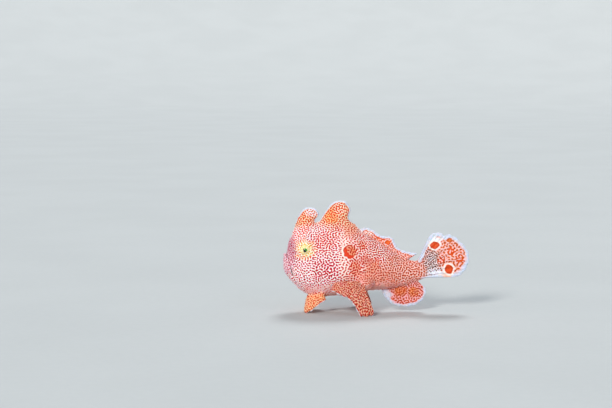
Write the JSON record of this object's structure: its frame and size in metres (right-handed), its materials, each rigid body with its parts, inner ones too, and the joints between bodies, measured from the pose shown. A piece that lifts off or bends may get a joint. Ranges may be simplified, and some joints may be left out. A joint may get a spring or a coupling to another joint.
{
  "type": "frogfish",
  "caption": "Life-size model of a young painted frogfish standing on its paired fins, with fleshy head spines, upturned mouth and spread tail fin.",
  "frame": {"origin": "on the floor, under the middle of the box round the animal", "axes": "head towards -X, left flank towards -Y, back towards +Z"},
  "size_m": [0.0439, 0.0182, 0.0264],
  "materials": {
    "skin": "moist, soft, finely warty",
    "fin": "moist, thin, translucent at the margin",
    "eye": "wet and clear"
  },
  "bodies": {
    "root": {"head": "skin", "lower_jaw": "skin", "torso": "skin", "tail_peduncle": "skin", "caudal_fin": "fin", "soft_dorsal_fin": "fin", "anal_fin": "fin", "dorsal_spine_2": "skin", "dorsal_spine_3": "skin", "illicium": "fin", "pectoral_arm_left": "skin", "pectoral_arm_right": "skin", "pectoral_hand_left": "fin", "pectoral_hand_right": "fin", "pelvic_fin_left": "fin", "pelvic_fin_right": "fin", "eye_left": "eye", "eye_right": "eye"}
  },
  "joints": []
}
